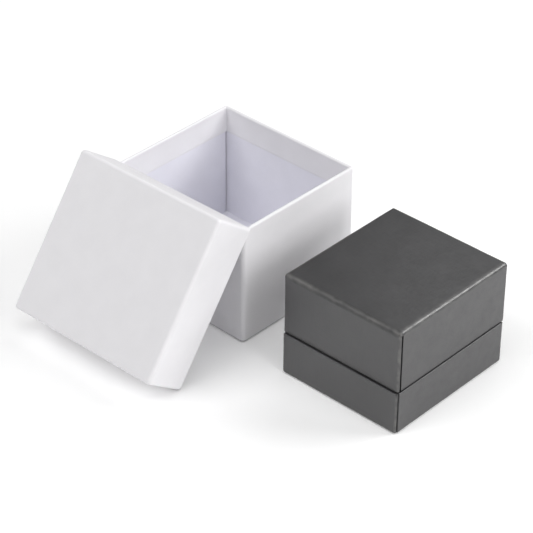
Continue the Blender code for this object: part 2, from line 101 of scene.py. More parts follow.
# below the lid's top: where its seams begin, and where they reach full depth
LID_SEAM_START = (0.7 * COVER_EDGE, COVER_EDGE + 0.1)

# rubbed places of the leatherette, and its pale folds and seam lips, partly real wear and partly a painted
# highlight: how far they spread, in millimetres from a fold
PALE_PATCH = 1.8
PALE_CONTRAST = 0.9
TOP_FOLD_PALE = 1.1
TOP_FOLD_BIAS = 0.6
CORNER_PALE = 0.55
CORNER_DEPTH = 0.4
LIP_HIGHLIGHT = 0.25
DULL_REACH = 2.0
DULL_ROUGHNESS = 0.22
# painted shade in the seams: how far in from the face the dark seam colour reaches
SEAM_SHADE_DEPTH = 1.2 * COVER

# hinge notch in both back walls
NOTCH_HALF = 12.6
NOTCH_REACH = 1.1
LEAF_GAP = 0.05
CUTTER_MARGIN = 1.0

# linings
LINING = 0.6
LINING_CORNER = 0.8
LINING_WAVER = (0.025, 5.0)
LINING_RIPPLE = 0.06
LINING_RIPPLE_RISE = 3.0
LINING_RIPPLE_SIZE = (3.5, 3.5, 9.0)
LINING_SETBACK = 0.03

# pads, and the cloth that swells them
PAD_VOXEL = 0.8
PAD_SHRINK = 0.45
PAD_SWELL = 0.55
GLUE_INSET = 0.3
GLUE_BAND = 0.4
SIM_SCALE = 10.0
SIM_FRAMES = 20
SIM_QUALITY = 6
CLOTH_PRESSURE = 4.0
CLOTH_MASS = 0.2
CLOTH_STIFFNESS = 12.0
CLOTH_BENDING = 0.4
VELVET_WAVER = (0.06, 4.0)
SATIN_WAVER = (0.08, 6.0)
PLEAT_DEPTH = 0.16
PLEAT_START = (-0.5, 0.8)
PLEAT_FADE = (1.0, 8.0)
PLEAT_TURN = 2.1
PLEAT_WANDER = 2.5
PLEAT_WANDER_SIZE = 4.0
PLEAT_SEED = 1.7

# camera and studio, in metres, degrees and watts
CAMERA_TARGET = (0.0245, -0.0101, 0.02015)
CAMERA_DISTANCE = 0.77326
CAMERA_AZIMUTH = 42.745
CAMERA_ELEVATION = 34.60
CAMERA_ROLL = 0.442
LENS = 155.2
SENSOR = 36.0
FLOOR_REACH = 3.0
FLOOR_CELLS = 8
FLOOR_GLOW = 0.115
WORLD_GLOW = 0.01
# name, azimuth, elevation, distance, size, power
SOFTBOXES = (
    ("key_softbox", 47, 34, 0.9, 0.4, 3.65),
    ("rear_softbox", 80, 52, 0.9, 0.4, 0.7),
    ("high_rear_softbox", 112, 44, 0.6, 0.25, 0.30),
    ("right_softbox", 0, 22, 1.0, 0.5, 3.8),
    ("left_softbox", 180, 22, 1.0, 0.5, 2.2),
    ("front_softbox", 248, 48, 1.0, 0.6, 4.3),
    ("overhead_softbox", 315, 72, 1.2, 0.7, 3.4),
)


# --- frames of the three boxes ------------------------------------------------------------------
def frame_matrix(across, opening, origin):
    """A local frame from its X and Z directions and its origin in metres."""
    x = Vector(across).normalized()
    z = Vector(opening).normalized()
    y = z.cross(x)
    turn = Matrix((x, y, z)).transposed().to_4x4()
    return Matrix.Translation(Vector(origin)) @ turn


def carton_lid_frame():
    """The lid's outer face is its floor, and it opens along its own +Z."""
    face = MOUNTS["carton_lid_face"]
    opening = -Vector(face["axis"])
    return frame_matrix((opening.y, -opening.x, 0.0), opening, face["pos_m"])


def ring_box_frame():
    """X runs along the front, Y towards the hinge, and the origin is under the box."""
    across = -Vector(HINGE["axis"])
    return frame_matrix(across, (0.0, 0.0, 1.0), MOUNTS["ring_box_underside"]["pos_m"])


def corners(points):
    """Lowest and highest corner of the box round some points."""
    low = Vector(min(p[i] for p in points) for i in range(3))
    high = Vector(max(p[i] for p in points) for i in range(3))
    return low, high


def extent(node, place):
    """Lowest and highest corner of a CAD node in a local frame."""
    inverse = place.inverted()
    return corners([inverse @ v.co / MM for v in frame["nodes"][node].data.vertices])


TRAY_PLACE = Matrix.Identity(4)
LID_PLACE = carton_lid_frame()
BOX_PLACE = ring_box_frame()


def hinge_height():
    """Height of the hinge's axis in the ring box's frame."""
    return (BOX_PLACE.inverted() @ Vector(HINGE["pos_m"])).z / MM


# --- outlines and swept skins -------------------------------------------------------------------
def graded(length, fine, coarse, reach=0.0, growth=1.2):
    """Places from 0 to length: fine steps within reach of both ends, and coarser between."""
    ramp = [0.0]
    step = fine
    while step < coarse and ramp[-1] + step < length / 3:
        ramp.append(ramp[-1] + step)
        if ramp[-1] > reach:
            step *= growth
    middle = length - 2 * ramp[-1]
    count = max(1, round(middle / coarse))
    even = [ramp[-1] + middle * k / count for k in range(1, count)]
    return ramp + even + [length - place for place in reversed(ramp)]


class Outline:
    """A rounded rectangle that is sampled at the same stations for every inset of it."""

    def __init__(self, low, high, corner, fine=0.08, coarse=1.3, arc_steps=14, reach=0.0):
        self.centre = ((low[0] + high[0]) / 2, (low[1] + high[1]) / 2)
        self.half = ((high[0] - low[0]) / 2, (high[1] - low[1]) / 2)
        self.corner = corner
        self.stations = []
        for quarter in range(4):
            for k in range(arc_steps + 1):
                self.stations.append((quarter, 90 * k / arc_steps, None))
            run = 2 * (self.half[quarter % 2] - corner)
            for place in graded(run, fine, coarse, reach)[1:-1]:
                self.stations.append((quarter, 90, place / run))

    def arc_centre(self, quarter, reach):
        """The middle of a corner's arc, so far in from both sides."""
        side_x = 1 if quarter in (0, 3) else -1
        side_y = 1 if quarter in (0, 1) else -1
        return Vector((side_x * (self.half[0] - reach), side_y * (self.half[1] - reach)))

    def point(self, station, inset):
        """(x, y), the outward direction, the nearest corner and the distance along from it."""
        quarter, turn, share = station
        radius = max(self.corner - inset, LEAST_CORNER)
        reach = inset + radius
        angle = radians(90 * quarter + turn)
        out = Vector((cos(angle), sin(angle)))
        start = self.arc_centre(quarter, reach) + radius * out
        half_arc = self.corner * pi / 4
        if share is None:
            spot = start
            along = self.corner * radians(turn - 45)
        else:
            end = self.arc_centre((quarter + 1) % 4, reach) + radius * out
            spot = start.lerp(end, share)
            gap = (end - start).length
            along = half_arc + share * gap
            if share > 0.5:
                along = -half_arc - (1 - share) * gap
                quarter = (quarter + 1) % 4
        return spot + Vector(self.centre), out, quarter, along


def arc(inset, z, radius, start, end, steps):
    """(inset, height) points of a rounded edge. Angle 0 faces outwards and 90 faces up."""
    points = []
    for k in range(steps + 1):
        angle = radians(start + (end - start) * k / steps)
        points.append((inset - radius * cos(angle), z + radius * sin(angle)))
    return points


def straight(start, end, fine, coarse):
    """Points between two (inset, height) points, without the two themselves."""
    (x0, z0), (x1, z1) = start, end
    length = hypot(x1 - x0, z1 - z0)
    shares = [place / length for place in graded(length, fine, coarse)[1:-1]]
    return [(x0 + (x1 - x0) * s, z0 + (z1 - z0) * s) for s in shares]


def joined(*stretches, fine=0.2, coarse=1.2):
    """One profile from lists of points, with straight runs between them."""
    profile = list(stretches[0])
    for stretch in stretches[1:]:
        profile += straight(profile[-1], stretch[0], fine, coarse)
        profile += stretch
    return profile


def waver(point, size):
    """A smooth unevenness of hand-made work, the same for all skins at one place."""
    depth, scale = size
    return depth * noise.noise_vector(point / scale)


def smooth(value, start, end):
    """0 up to start, 1 from end on, with an even rise between."""
    share = min(max((value - start) / (end - start), 0.0), 1.0)
    return share * share * (3 - 2 * share)


def swept(name, outline, profile, place, shape, cap=True, rings=12):
    """A closed skin that follows a profile of (inset, height) points round an outline.

    With cap, both ends of the profile run to the middle; otherwise the skin closes as a ring.
    shape(point, out, inset, quarter, along) may move a point.
    """
    bm = bmesh.new()
    loops = []
    shares = [(k / rings) ** RING_CROWDING for k in range(1, rings)] if cap else []
    first = [(profile[0], s) for s in shares]
    last = [(profile[-1], s) for s in reversed(shares)]
    for (inset, z), share in first + [(p, 1.0) for p in profile] + last:
        loop = []
        for station in outline.stations:
            spot, out, quarter, along = outline.point(station, inset)
            spot = Vector(outline.centre).lerp(spot, share)
            point = Vector((spot.x, spot.y, z))
            loop.append(bm.verts.new(shape(point, out, inset, quarter, along) * MM))
        loops.append(loop)
    count = len(outline.stations)
    pairs = list(zip(loops, loops[1:]))
    if not cap:
        pairs.append((loops[-1], loops[0]))
    for low, high in pairs:
        for k in range(count):
            n = (k + 1) % count
            bm.faces.new((low[k], low[n], high[n], high[k]))
    if cap:
        for loop in (loops[0], loops[-1]):
            middle = bm.verts.new(sum((v.co for v in loop), Vector()) / count)
            for k in range(count):
                bm.faces.new((loop[k], loop[(k + 1) % count], middle))
    bmesh.ops.recalc_face_normals(bm, faces=bm.faces)
    return finished(name, bm, place)


def finished(name, bm, place):
    """An object from a mesh in a local frame, nowhere below the surface it stands on."""
    mesh = bpy.data.meshes.new(name)
    bm.transform(place)
    for vertex in bm.verts:
        vertex.co.z = max(vertex.co.z, 0.0)
    bm.transform(place.inverted())
    bm.to_mesh(mesh)
    bm.free()
    mesh.shade_smooth()
    mesh.set_sharp_from_angle(angle=radians(SHARP_ANGLE))
    obj = bpy.data.objects.new(name, mesh)
    bpy.context.collection.objects.link(obj)
    obj.matrix_world = place
    return obj


def apply_modifiers(obj):
    """Makes an object's modifiers part of its mesh."""
    bpy.context.view_layer.update()
    graph = bpy.context.evaluated_depsgraph_get()
    mesh = bpy.data.meshes.new_from_object(obj.evaluated_get(graph))
    obj.modifiers.clear()
    obj.data = mesh


def mark(obj, name, value):
    """A point attribute for the materials, from a function of the point in millimetres."""
    layer = obj.data.attributes.new(name, "FLOAT", "POINT")
    for vertex, item in zip(obj.data.vertices, layer.data):
        item.value = value(vertex.co / MM)


def dress(obj, body, node, mat):
    """Puts a finished piece in a CAD node's place."""
    obj.data.materials.clear()
    obj.data.materials.append(mat)
    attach(obj, body)
    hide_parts(node)


# --- node materials -----------------------------------------------------------------------------
def blank(name, roughness, metallic=0.0, specular=0.5):
    """A material with a Principled shader, and its node tree."""
    mat = bpy.data.materials.new(name)
    mat.use_nodes = True
    shader = mat.node_tree.nodes["Principled BSDF"]
    shader.inputs["Roughness"].default_value = roughness
    shader.inputs["Metallic"].default_value = metallic
    shader.inputs["Specular IOR Level"].default_value = specular
    return mat, mat.node_tree, shader


def grain(tree, size, stretch=(1.0, 1.0, 1.0), detail=3.0, rough=0.55):
    """Noise of a grain size in millimetres, longer along any axis whose stretch is over 1."""
    coordinates = tree.nodes.new("ShaderNodeTexCoord")
    scale = tree.nodes.new("ShaderNodeVectorMath")
    scale.operation = "MULTIPLY"
    scale.inputs[1].default_value = [1 / (MM * size * along) for along in stretch]
    texture = tree.nodes.new("ShaderNodeTexNoise")
    texture.inputs["Scale"].default_value = 1.0
    texture.inputs["Detail"].default_value = detail
    texture.inputs["Roughness"].default_value = rough
    tree.links.new(coordinates.outputs["Object"], scale.inputs[0])
    tree.links.new(scale.outputs[0], texture.inputs["Vector"])
    return texture.outputs["Fac"]


def ranged(tree, value, low, high, start=0.3, end=0.7):
    """A number that runs from low to high as value goes from start to end."""
    node = tree.nodes.new("ShaderNodeMapRange")
    node.inputs["From Min"].default_value = start
    node.inputs["From Max"].default_value = end
    node.inputs["To Min"].default_value = low
    node.inputs["To Max"].default_value = high
    tree.links.new(value, node.inputs["Value"])
    return node.outputs["Result"]


def tinted(tree, value, dark, light, start=0.3, end=0.7):
    """A colour that runs from dark to light as value goes from start to end."""
    ramp = tree.nodes.new("ShaderNodeValToRGB")
    ramp.color_ramp.elements[0].position = start
    ramp.color_ramp.elements[0].color = (*dark, 1.0)
    ramp.color_ramp.elements[1].position = end
    ramp.color_ramp.elements[1].color = (*light, 1.0)
    tree.links.new(value, ramp.inputs["Fac"])
    return ramp.outputs["Color"]


def together(tree, first, second, share=0.5):
    """Two values mixed."""
    node = tree.nodes.new("ShaderNodeMix")
    node.inputs["Factor"].default_value = share
    tree.links.new(first, node.inputs["A"])
    tree.links.new(second, node.inputs["B"])
    return node.outputs["Result"]


def added(tree, value, extra, amount):
    """A value with so much of another added."""
    node = tree.nodes.new("ShaderNodeMath")
    node.operation = "MULTIPLY_ADD"
    tree.links.new(extra, node.inputs[0])
    node.inputs[1].default_value = amount
    tree.links.new(value, node.inputs[2])
    return node.outputs["Value"]


def blended(tree, factor, first, second):
    """Two colours mixed by a value."""
    node = tree.nodes.new("ShaderNodeMix")
    node.data_type = "RGBA"
    tree.links.new(factor, node.inputs["Factor"])
    tree.links.new(first, node.inputs[6])
    tree.links.new(second, node.inputs[7])
    return node.outputs[2]


def attribute(tree, name):
    """A mesh's own point value, 0 on a mesh without it."""
    node = tree.nodes.new("ShaderNodeAttribute")
    node.attribute_name = name
    return node.outputs["Fac"]


def bumped(tree, height, depth):
    """A bump whose full height is depth millimetres."""
    node = tree.nodes.new("ShaderNodeBump")
    node.inputs["Strength"].default_value = 1.0
    node.inputs["Distance"].default_value = depth * MM
    tree.links.new(height, node.inputs["Height"])
    return node.outputs["Normal"]


def paper_material(name, dark, light, fibre=0.25, depth=0.012, roughness=0.6):
    """Uncoated paper or board: cloudy colour, fine fibres, a dull surface, and a painted contact shadow in dark
    grey on the edges that stand on the table.
    """
    mat, tree, shader = blank(name, roughness, specular=0.25)
    cloud = grain(tree, 9.0, detail=4.0)
    fibres = grain(tree, fibre, (3.0, 1.0, 2.0), detail=5.0, rough=0.7)
    clean = tinted(tree, together(tree, cloud, fibres, 0.35), dark, light)
    # painted contact shadow: a dark grey mixed in where the paper meets the table
    contact_shadow_colour = tinted(tree, fibres, [c * 0.35 for c in dark], [c * 0.55 for c in dark])
    contact_shade = attribute(tree, "contact_shade")
    tree.links.new(blended(tree, contact_shade, clean, contact_shadow_colour), shader.inputs["Base Color"])
    tree.links.new(ranged(tree, fibres, roughness - 0.07, roughness + 0.07),
                   shader.inputs["Roughness"])
    tree.links.new(bumped(tree, fibres, depth), shader.inputs["Normal"])
    return mat


def leatherette_material():
    """Gunmetal leatherette: a fine brushed cross grain with a pearly sheen, paler at folds from wear and from a
    painted highlight.
    """
    mat, tree, shader = blank("leatherette", 0.4, specular=0.85)
    shader.inputs["IOR"].default_value = 1.6
    across = grain(tree, 0.4, (9.0, 1.0, 1.0), detail=4.0, rough=0.6)
    along = grain(tree, 0.4, (1.0, 9.0, 9.0), detail=4.0, rough=0.6)
    cross = together(tree, across, along)
    cloud = grain(tree, 12.0, detail=3.0)
    body = tinted(tree, together(tree, cross, cloud, 0.35), (0.010, 0.010, 0.011),
                  (0.023, 0.022, 0.024), 0.35, 0.65)
    # pale folds and seam lips: partly real wear, partly a painted highlight where the folds catch the light
    wear_and_highlight_colour = tinted(tree, cross, (0.080, 0.078, 0.074), (0.125, 0.122, 0.115), 0.4, 0.6)
    outside = blended(tree, attribute(tree, "wear_and_highlight"), body, wear_and_highlight_colour)
    # seam floor: near-black, partly for the glue and partly as painted shade in the trench
    glue_and_shade_colour = tree.nodes.new("ShaderNodeRGB")
    glue_and_shade_colour.outputs[0].default_value = (0.008, 0.008, 0.009, 1.0)
    tree.links.new(blended(tree, attribute(tree, "gap"), outside, glue_and_shade_colour.outputs[0]),
                   shader.inputs["Base Color"])
    brushed = ranged(tree, cross, 0.30, 0.48, 0.38, 0.62)
    tree.links.new(added(tree, brushed, attribute(tree, "dull"), DULL_ROUGHNESS),
                   shader.inputs["Roughness"])
    tree.links.new(bumped(tree, cross, 0.03), shader.inputs["Normal"])
    shader.inputs["Sheen Weight"].default_value = 0.08
    shader.inputs["Sheen Roughness"].default_value = 0.4
    return mat


def velvet_material():
    """Black velvet: a short pile brushed both ways, with a pale sheen at its edges."""
    mat, tree, shader = blank("velvet", 0.95, specular=0.2)
    pile = grain(tree, 0.14, detail=4.0, rough=0.7)
    brushed = grain(tree, 6.0, (1.0, 1.6, 1.0), detail=2.0)
    tree.links.new(tinted(tree, together(tree, pile, brushed, 0.5), (0.006, 0.006, 0.007),
                          (0.022, 0.022, 0.024)), shader.inputs["Base Color"])
    tree.links.new(bumped(tree, pile, 0.06), shader.inputs["Normal"])
    shader.inputs["Sheen Weight"].default_value = 0.5
    shader.inputs["Sheen Roughness"].default_value = 0.35
    shader.inputs["Sheen Tint"].default_value = (0.75, 0.75, 0.78, 1.0)
    return mat


def satin_material():
    """White satin: warp threads and slubs along X, and a soft gloss."""
    mat, tree, shader = blank("satin", 0.3, specular=0.55)
    warp = grain(tree, 0.09, (30.0, 1.0, 1.0), detail=2.0)
    slub = grain(tree, 0.16, (12.0, 1.0, 1.0), detail=3.0)
    tree.links.new(tinted(tree, together(tree, warp, slub), (0.81, 0.80, 0.775),
                          (0.85, 0.84, 0.82)), shader.inputs["Base Color"])
    tree.links.new(ranged(tree, slub, 0.30, 0.36), shader.inputs["Roughness"])
    tree.links.new(bumped(tree, warp, 0.012), shader.inputs["Normal"])
    shader.inputs["Anisotropic"].default_value = 0.5
    shader.inputs["Sheen Weight"].default_value = 0.15
    return mat


def plastic_material():
    """Dark moulded plastic with a fine texture and flow marks."""
    mat, tree, shader = blank("moulded_plastic", 0.5, specular=0.45)
    texture = grain(tree, 0.3, detail=4.0, rough=0.6)
    flow = grain(tree, 10.0, (3.0, 1.0, 1.0))
    tree.links.new(tinted(tree, together(tree, texture, flow, 0.5), (0.040, 0.040, 0.044),
                          (0.058, 0.058, 0.063)), shader.inputs["Base Color"])
    tree.links.new(ranged(tree, texture, 0.42, 0.56), shader.inputs["Roughness"])
    tree.links.new(bumped(tree, texture, 0.015), shader.inputs["Normal"])
    return mat


def steel_material():
    """Bright drawn spring steel, slightly stained."""
    mat, tree, shader = blank("spring_steel", 0.3, metallic=1.0)
    drawn = grain(tree, 0.08, (25.0, 1.0, 1.0), detail=3.0)
    stain = grain(tree, 2.5, detail=3.0)
    tree.links.new(tinted(tree, together(tree, drawn, stain, 0.6), (0.50, 0.49, 0.48),
                          (0.66, 0.66, 0.67)), shader.inputs["Base Color"])
    tree.links.new(ranged(tree, drawn, 0.22, 0.38), shader.inputs["Roughness"])
    tree.links.new(bumped(tree, drawn, 0.006), shader.inputs["Normal"])
    return mat


def make_materials():
    """One material for each slot of the record."""
    return {
        "wrap_paper": paper_material("wrap_paper", (0.82, 0.81, 0.83), (0.86, 0.85, 0.87)),
        "board": paper_material("board", (0.80, 0.795, 0.855), (0.845, 0.84, 0.90),
                                fibre=0.35, roughness=0.75),
        "corner_tape": paper_material("corner_tape", (0.50, 0.46, 0.40), (0.58, 0.54, 0.47),
                                      fibre=0.4, depth=0.02, roughness=0.8),
        "leatherette": leatherette_material(),
        "shell_plastic": plastic_material(),
        "base_paper": paper_material("base_paper", (0.022, 0.022, 0.023), (0.036, 0.036, 0.038),
                                     fibre=0.3, depth=0.03, roughness=0.9),
        "velvet": velvet_material(),
        "pad_card": paper_material("pad_card", (0.27, 0.26, 0.25), (0.36, 0.35, 0.34),
                                   fibre=0.5, depth=0.02, roughness=0.85),
        "satin": satin_material(),
        "spring_steel": steel_material(),
    }


# --- carton -------------------------------------------------------------------------------------
def wrap_profile(height, fold):
    """Covering paper: floor, wall, over the rim and down inside, then back as its other side."""
    rim, skin = PAPER_RIM, PAPER
    end = height - TURN_IN
    glued = CARTON_WALL - skin
    return joined(
        [(fold + PAPER_RUN_IN, 0.0), (fold + FOLD_MARGIN, 0.0)],
        arc(fold, fold, fold, -90, 0, 8),
        arc(rim, height - rim, rim, 0, 90, 6),
        arc(CARTON_WALL - rim, height - rim, rim, 90, 180, 6),
        [(CARTON_WALL, end + TURN_IN_FEATHER), (glued + TURN_IN_STEP, end), (glued, end)],
        [(glued, height - rim)],
        [(CARTON_WALL - rim, height - skin), (rim, height - skin), (skin, height - rim)],
        [(skin, fold)],
        arc(fold, fold, fold - skin, 0, -90, 4),
        [(fold + PAPER_RUN_IN, skin)],
    )


def mark_contact_shade(obj, low, high, place):
    """A painted-shadow attribute: 1 on the edges that stand on the table, where the painted contact shadow is
    darkest.
    """
    def contact_shade(point):
        height = (place @ (point * MM)).z / MM
        inward = min(high.x - point.x, point.x - low.x, high.y - point.y, point.y - low.y)
        low_down = 1 - smooth(height, CONTACT_SHADE_HEIGHT / 3, CONTACT_SHADE_HEIGHT)
        return low_down * (1 - smooth(inward, CONTACT_SHADE_WIDTH, 2 * CONTACT_SHADE_WIDTH))

    mark(obj, "contact_shade", contact_shade)


def carton_paper(prefix, place, body, fold, mat):
    """The covering paper of the tray or of the lid."""
    low, high = extent(prefix + "_wrap", place)

    def shape(point, out, inset, quarter, along):
        return point + waver(point, PAPER_WAVER)

    outline = Outline(low, high, PAPER_CORNER, fine=0.3, coarse=1.6, arc_steps=10)
    profile = wrap_profile(high.z - low.z, fold)
    obj = swept(prefix + "_paper", outline, profile, place, shape)
    mark_contact_shade(obj, low, high, place)
    dress(obj, body, prefix + "_wrap", mat)


# --- ring box covers ----------------------------------------------------------------------------
def seam_depth(along, seam):
    """How far the skin sinks at a seam. The folded lip towards the corner stands proud."""
    inner = abs(along) - seam
    trench = 1 - smooth(abs(inner), SEAM_HALF - SEAM_SLOPE, SEAM_HALF + SEAM_SLOPE)
    lip = 1 - smooth(abs(inner + SEAM_HALF + SEAM_LIP), 0.0, SEAM_LIP)
    return SEAM_DEPTH * trench - LIP_RISE * lip


def beside_seam(quarter, along):
    """Seams lie next to the corners: at the front on the two sides, at the back on the back."""
    return along > 0 if quarter in (0, 3) else along < 0


def seam_place(point, low, high):
    """Depth below the face with the nearest seam, and distance along it from the corner."""
    from_side = min(high.x - point.x, point.x - low.x)
    if point.y > (low.y + high.y) / 2:
        return high.y - point.y, from_side
    return from_side, point.y - low.y


def cover_shape(seam, starts, bevel):
    """Moves a cover's points: seams near the corners, an uneven skin and the lid's bevel.

    starts holds the height at which the seams begin, and the one where they are at full depth.
    """
    top, full = starts

    def shape(point, out, inset, quarter, along):
        moved = point + waver(point, COVER_WAVER) + waver(point, COVER_DIMPLES)
        if inset < OUTSIDE_DEPTH and beside_seam(quarter, along):
            share = smooth(-point.z, -top, -full)
            moved -= Vector((out.x, out.y, 0.0)) * seam_depth(along, seam) * share
        return bevel(moved, inset)

    return shape


def lid_bevel(bottom, back):
    """The slant along the lid's lower back edge, on the outside and the inside of the skin."""
    depth, rise = LID_BEVEL
    slope = rise / depth

    def bevel(point, inset):
        lift = min(inset, COVER) * hypot(1.0, slope)
        floor = bottom + (point.y - back + depth) * slope + lift
        return Vector((point.x, point.y, max(point.z, floor)))

    return bevel


def no_bevel(point, inset):
    """The base has a square edge."""
    return point


def notch_cutter(outline_yz):
    """A block with a (y, z) outline in the ring box's frame, across the hinge's length."""
    bm = bmesh.new()
    ends = [[bm.verts.new(Vector((x, y, z)) * MM) for y, z in outline_yz]
            for x in (-NOTCH_HALF, NOTCH_HALF)]
    count = len(outline_yz)
    for k in range(count):
        n = (k + 1) % count
        bm.faces.new((ends[0][k], ends[0][n], ends[1][n], ends[1][k]))
    bm.faces.new(list(reversed(ends[0])))
    bm.faces.new(ends[1])
    bmesh.ops.recalc_face_normals(bm, faces=bm.faces)
    return finished("notch", bm, BOX_PLACE)


def cut_notch(obj, back, rim, reach, turn_in_end):
    """Opens a cover's back wall for the hinge knuckles, and its turn-in for the leaf."""
    inside = back - WALL - 3 * COVER
    behind_leaf = back - WALL + LEAF_GAP
    outline = [
        (inside, rim),
        (back + CUTTER_MARGIN, rim),
        (back + CUTTER_MARGIN, reach),
        (behind_leaf, reach),
        (behind_leaf, turn_in_end),
        (inside, turn_in_end),
    ]
    cutter = notch_cutter(outline)
    step = obj.modifiers.new("notch", "BOOLEAN")
    step.operation = "DIFFERENCE"
    step.solver = "EXACT"
    step.object = cutter
    apply_modifiers(obj)
    bpy.data.objects.remove(cutter)


def mark_wear_and_highlight(obj, edges):
    """A paleness attribute, partly real wear and partly a painted highlight: up to 1 on folds, 0 on the flats,
    from (distance, spread) pairs.
    """
    def wear_and_highlight(point):
        uneven = min(max(0.5 + noise.noise(point / PALE_PATCH) * PALE_CONTRAST, 0.0), 1.0)
        return uneven * max(max(0.0, 1 - reach(point) / spread) for reach, spread in edges)

    mark(obj, "wear_and_highlight", wear_and_highlight)


def mark_dull(obj, low, high):
    """A dull attribute: 1 on the front top fold, which thumbs have rubbed matt."""
    def dull(point):
        return 1 - smooth(hypot(point.y - low.y, high.z - point.z), COVER_EDGE, DULL_REACH)

    mark(obj, "dull", dull)


def mark_glue_and_shade(obj, low, high, seam, top):
    """A gap attribute: 1 down in the seams, where the colour darkens, partly for dark glue and partly as painted
    shade in the trench.
    """
    spot = COVER_CORNER * (1 - pi / 4) + seam

    def gap(point):
        depth, from_corner = seam_place(point, low, high)
        if depth > SEAM_SHADE_DEPTH or point.z > top:
            return 0.0
        return 1 - smooth(abs(from_corner - spot), SEAM_HALF - SEAM_SLOPE, SEAM_HALF)

    mark(obj, "gap", gap)


def cover_edges(low, high, seam):
    """Distances to a cover's top edges, upright corners and seam lips, each with its spread."""
    lip = COVER_CORNER * (1 - pi / 4) + seam - SEAM_HALF - SEAM_LIP / 2

    def top_edge(p):
        side = min(high.x - p.x, p.x - low.x, high.y - p.y, p.y - low.y)
        below = high.z - p.z
        off_fold = abs(hypot(COVER_EDGE - min(side, COVER_EDGE), COVER_EDGE - below) - COVER_EDGE)
        return off_fold + abs(side - below) * TOP_FOLD_BIAS

    def corner(p):
        from_sides = (min(high.x - p.x, p.x - low.x), min(high.y - p.y, p.y - low.y))
        return hypot(*from_sides) - CORNER_DEPTH

    def seam_lip(p):
        depth, from_corner = seam_place(p, low, high)
        return abs(from_corner - lip) if depth < COVER else COVER

    return [(top_edge, TOP_FOLD_PALE), (corner, CORNER_PALE), (seam_lip, LIP_HIGHLIGHT)]


def lid_cover_piece(mat):
    """The lid's leatherette: top, walls, over the rim and inside to the end of its turn-in."""
    low, high = extent("ring_box_lid_cover", BOX_PLACE)
    top, bottom = high.z, low.z
    edge, rim = COVER_EDGE, LID_RIM
    inside = WALL + COVER
    profile = joined(
        [(edge + COVER_RUN_IN, top), (edge + FOLD_MARGIN, top)],
        arc(edge, top - edge, edge, 90, 0, 14),
        arc(rim, bottom + rim, rim, 0, -90, 5),
        arc(inside - rim, bottom + rim, rim, -90, -180, 4),
        [(inside, bottom + COVER_TURN_IN), (WALL, bottom + COVER_TURN_IN)],
        [(WALL, bottom + COVER), (COVER, bottom + COVER)],
        [(COVER, top - edge), (edge, top - COVER)],
        [(edge + COVER_RUN_IN, top - COVER)],
        fine=0.15,
        coarse=0.9,
    )
    starts = [top - below for below in LID_SEAM_START]
    shape = cover_shape(LID_SEAM, starts, lid_bevel(bottom, high.y))
    outline = Outline(low, high, COVER_CORNER, reach=SEAM_REACH)
    obj = swept("ring_box_lid_leatherette", outline, profile, BOX_PLACE, shape)
    cut_notch(obj, high.y, bottom - CUTTER_MARGIN, hinge_height() + NOTCH_REACH,
              bottom + COVER_TURN_IN + CUTTER_MARGIN)
    mark_wear_and_highlight(obj, cover_edges(low, high, LID_SEAM))
    mark_dull(obj, low, high)
    mark_glue_and_shade(obj, low, high, LID_SEAM, top - edge)
    obj.data.set_sharp_from_angle(angle=radians(SHARP_ANGLE))
    dress(obj, "ring_box_lid", "ring_box_lid_cover", mat)


def base_cover_piece(mat):
    """The base's leatherette: a ring from under the base to the end of its turn-in."""
    low, high = extent("ring_box_base_cover", BOX_PLACE)
    top, bottom = high.z + BASE_LIFT, low.z
    edge, rim = BASE_FOLD, BASE_RIM
    inside = WALL + COVER
    profile = joined(
        [(COVER_UNDER, bottom), (edge + FOLD_MARGIN, bottom)],
        arc(edge, bottom + edge, edge, -90, 0, 7),
        arc(rim, top - rim, rim, 0, 90, 6),
        arc(inside - rim, top - rim, rim, 90, 180, 5),
        [(inside, top - COVER_TURN_IN), (WALL, top - COVER_TURN_IN)],
        [(WALL, top - COVER), (COVER, top - COVER)],
        [(COVER, bottom + COVER), (COVER_UNDER, bottom + COVER)],
        [(COVER_UNDER, bottom)],
        fine=0.15,
        coarse=0.9,
    )[:-1]
    full_height = (top + 2 * CUTTER_MARGIN, top + CUTTER_MARGIN)
    shape = cover_shape(BASE_SEAM, full_height, no_bevel)
    outline = Outline(low, high, COVER_CORNER, reach=SEAM_REACH)
    obj = swept("ring_box_base_leatherette", outline, profile, BOX_PLACE, shape, cap=False)
    cut_notch(obj, high.y, top + CUTTER_MARGIN, hinge_height() - NOTCH_REACH,
              top - COVER_TURN_IN - CUTTER_MARGIN)
    mark_wear_and_highlight(obj, cover_edges(low, high, BASE_SEAM)[1:])
    mark_glue_and_shade(obj, low, high, BASE_SEAM, top)
    obj.data.set_sharp_from_angle(angle=radians(SHARP_ANGLE))
    dress(obj, "ring_box_base", "ring_box_base_cover", mat)


# --- ring box interior --------------------------------------------------------------------------
def lining_piece(node, name, body, mat, faces_down):
    """A cloth-covered strip round the inside, with a soft rolled edge at the opening."""
    low, high = extent(node, BOX_PLACE)
    roll = LINING / 2
    if faces_down:
        near, far, turn = low.z, high.z, -1
    else:
        near, far, turn = high.z, low.z, 1
    crown = [(inset, near + turn * (z - roll))
             for inset, z in arc(roll, 0.0, roll, 0, 180, 8)]
    profile = joined([(0.0, far)], crown, [(LINING, far)], [(0.0, far)], fine=0.2,
                     coarse=0.8)[:-1]

    def shape(point, out, inset, quarter, along):
        depth = LINING_RIPPLE * smooth(abs(point.z - far), 0.0, LINING_RIPPLE_RISE)
        spot = Vector(value / size for value, size in zip(point, LINING_RIPPLE_SIZE))
        setback = depth * noise.noise(spot) + LINING_SETBACK
        return point + waver(point, LINING_WAVER) - Vector((out.x, out.y, 0.0)) * setback

    outline = Outline(low, high, LINING_CORNER, fine=0.2, coarse=0.9, arc_steps=6)
    obj = swept(name, outline, profile, BOX_PLACE, shape, cap=False)
    dress(obj, body, node, mat)


